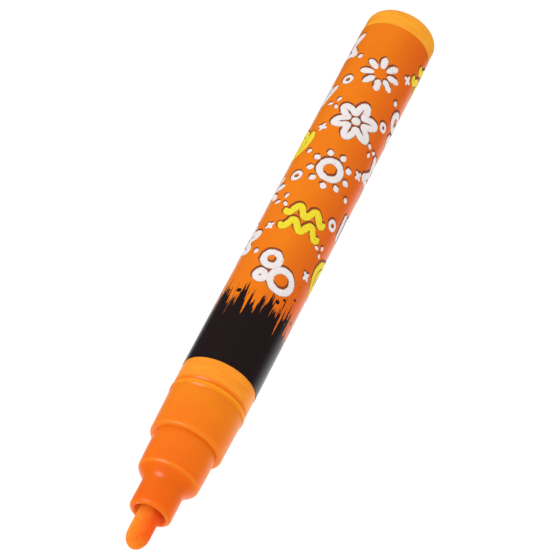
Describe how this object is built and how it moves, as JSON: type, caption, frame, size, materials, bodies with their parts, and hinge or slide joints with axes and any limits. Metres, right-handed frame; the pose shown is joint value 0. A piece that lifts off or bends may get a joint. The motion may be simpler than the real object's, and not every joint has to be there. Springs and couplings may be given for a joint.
{
  "type": "liquid chalk marker",
  "caption": "Uncapped valve-action liquid chalk marker: round closed barrel with a film label, stepped nozzle, pull-out bullet nib, sprung ink valve and loose mixing balls.",
  "frame": {"origin": "centre of the flat rear face, which the marker stands on", "axes": "+Z along the marker's axis from the rear face to the nib; X and Y across it, X through the two mixing balls"},
  "size_m": [0.0154, 0.0154, 0.1336],
  "materials": {
    "barrel_plastic": "moulded polypropylene, slightly see-through, tinted orange by the ink behind it",
    "label_print": "printed plastic film, glossy",
    "nozzle_plastic": "moulded orange polypropylene, soft gloss",
    "nib_fibre": "bonded fibre soaked with orange ink",
    "valve_plastic": "natural polypropylene",
    "seal_rubber": "soft black rubber",
    "spring_steel": "drawn stainless wire",
    "ball_steel": "polished bearing steel"
  },
  "bodies": {
    "root": {"barrel": "barrel_plastic", "label_film": "label_print", "nozzle": "nozzle_plastic", "valve_seat": "valve_plastic", "valve_cage": "valve_plastic", "valve_spring": "spring_steel"},
    "valve": {"valve_stem": "valve_plastic", "valve_seal": "seal_rubber"},
    "nib": {"nib": "nib_fibre"},
    "mixing_ball_a": {"mixing_ball_a": "ball_steel"},
    "mixing_ball_b": {"mixing_ball_b": "ball_steel"}
  },
  "joints": [
    {"name": "valve_press", "type": "slide", "parent": "root", "child": "valve", "axis": [0, 0, -1], "range_m": [0, 0.002], "stiffness_N_per_m": 500, "springref_m": -0.002, "deforming": ["valve_spring"]},
    {"name": "nib_pull", "type": "slide", "parent": "valve", "child": "nib", "axis": [0, 0, 1], "range_m": [0, 0.0225]},
    {"name": "ball_a_roll", "type": "slide", "parent": "root", "child": "mixing_ball_a", "axis": [0, 0, 1], "range_m": [0, 0.0771]},
    {"name": "ball_b_roll", "type": "slide", "parent": "root", "child": "mixing_ball_b", "axis": [0, 0, 1], "range_m": [0, 0.0771]}
  ]
}
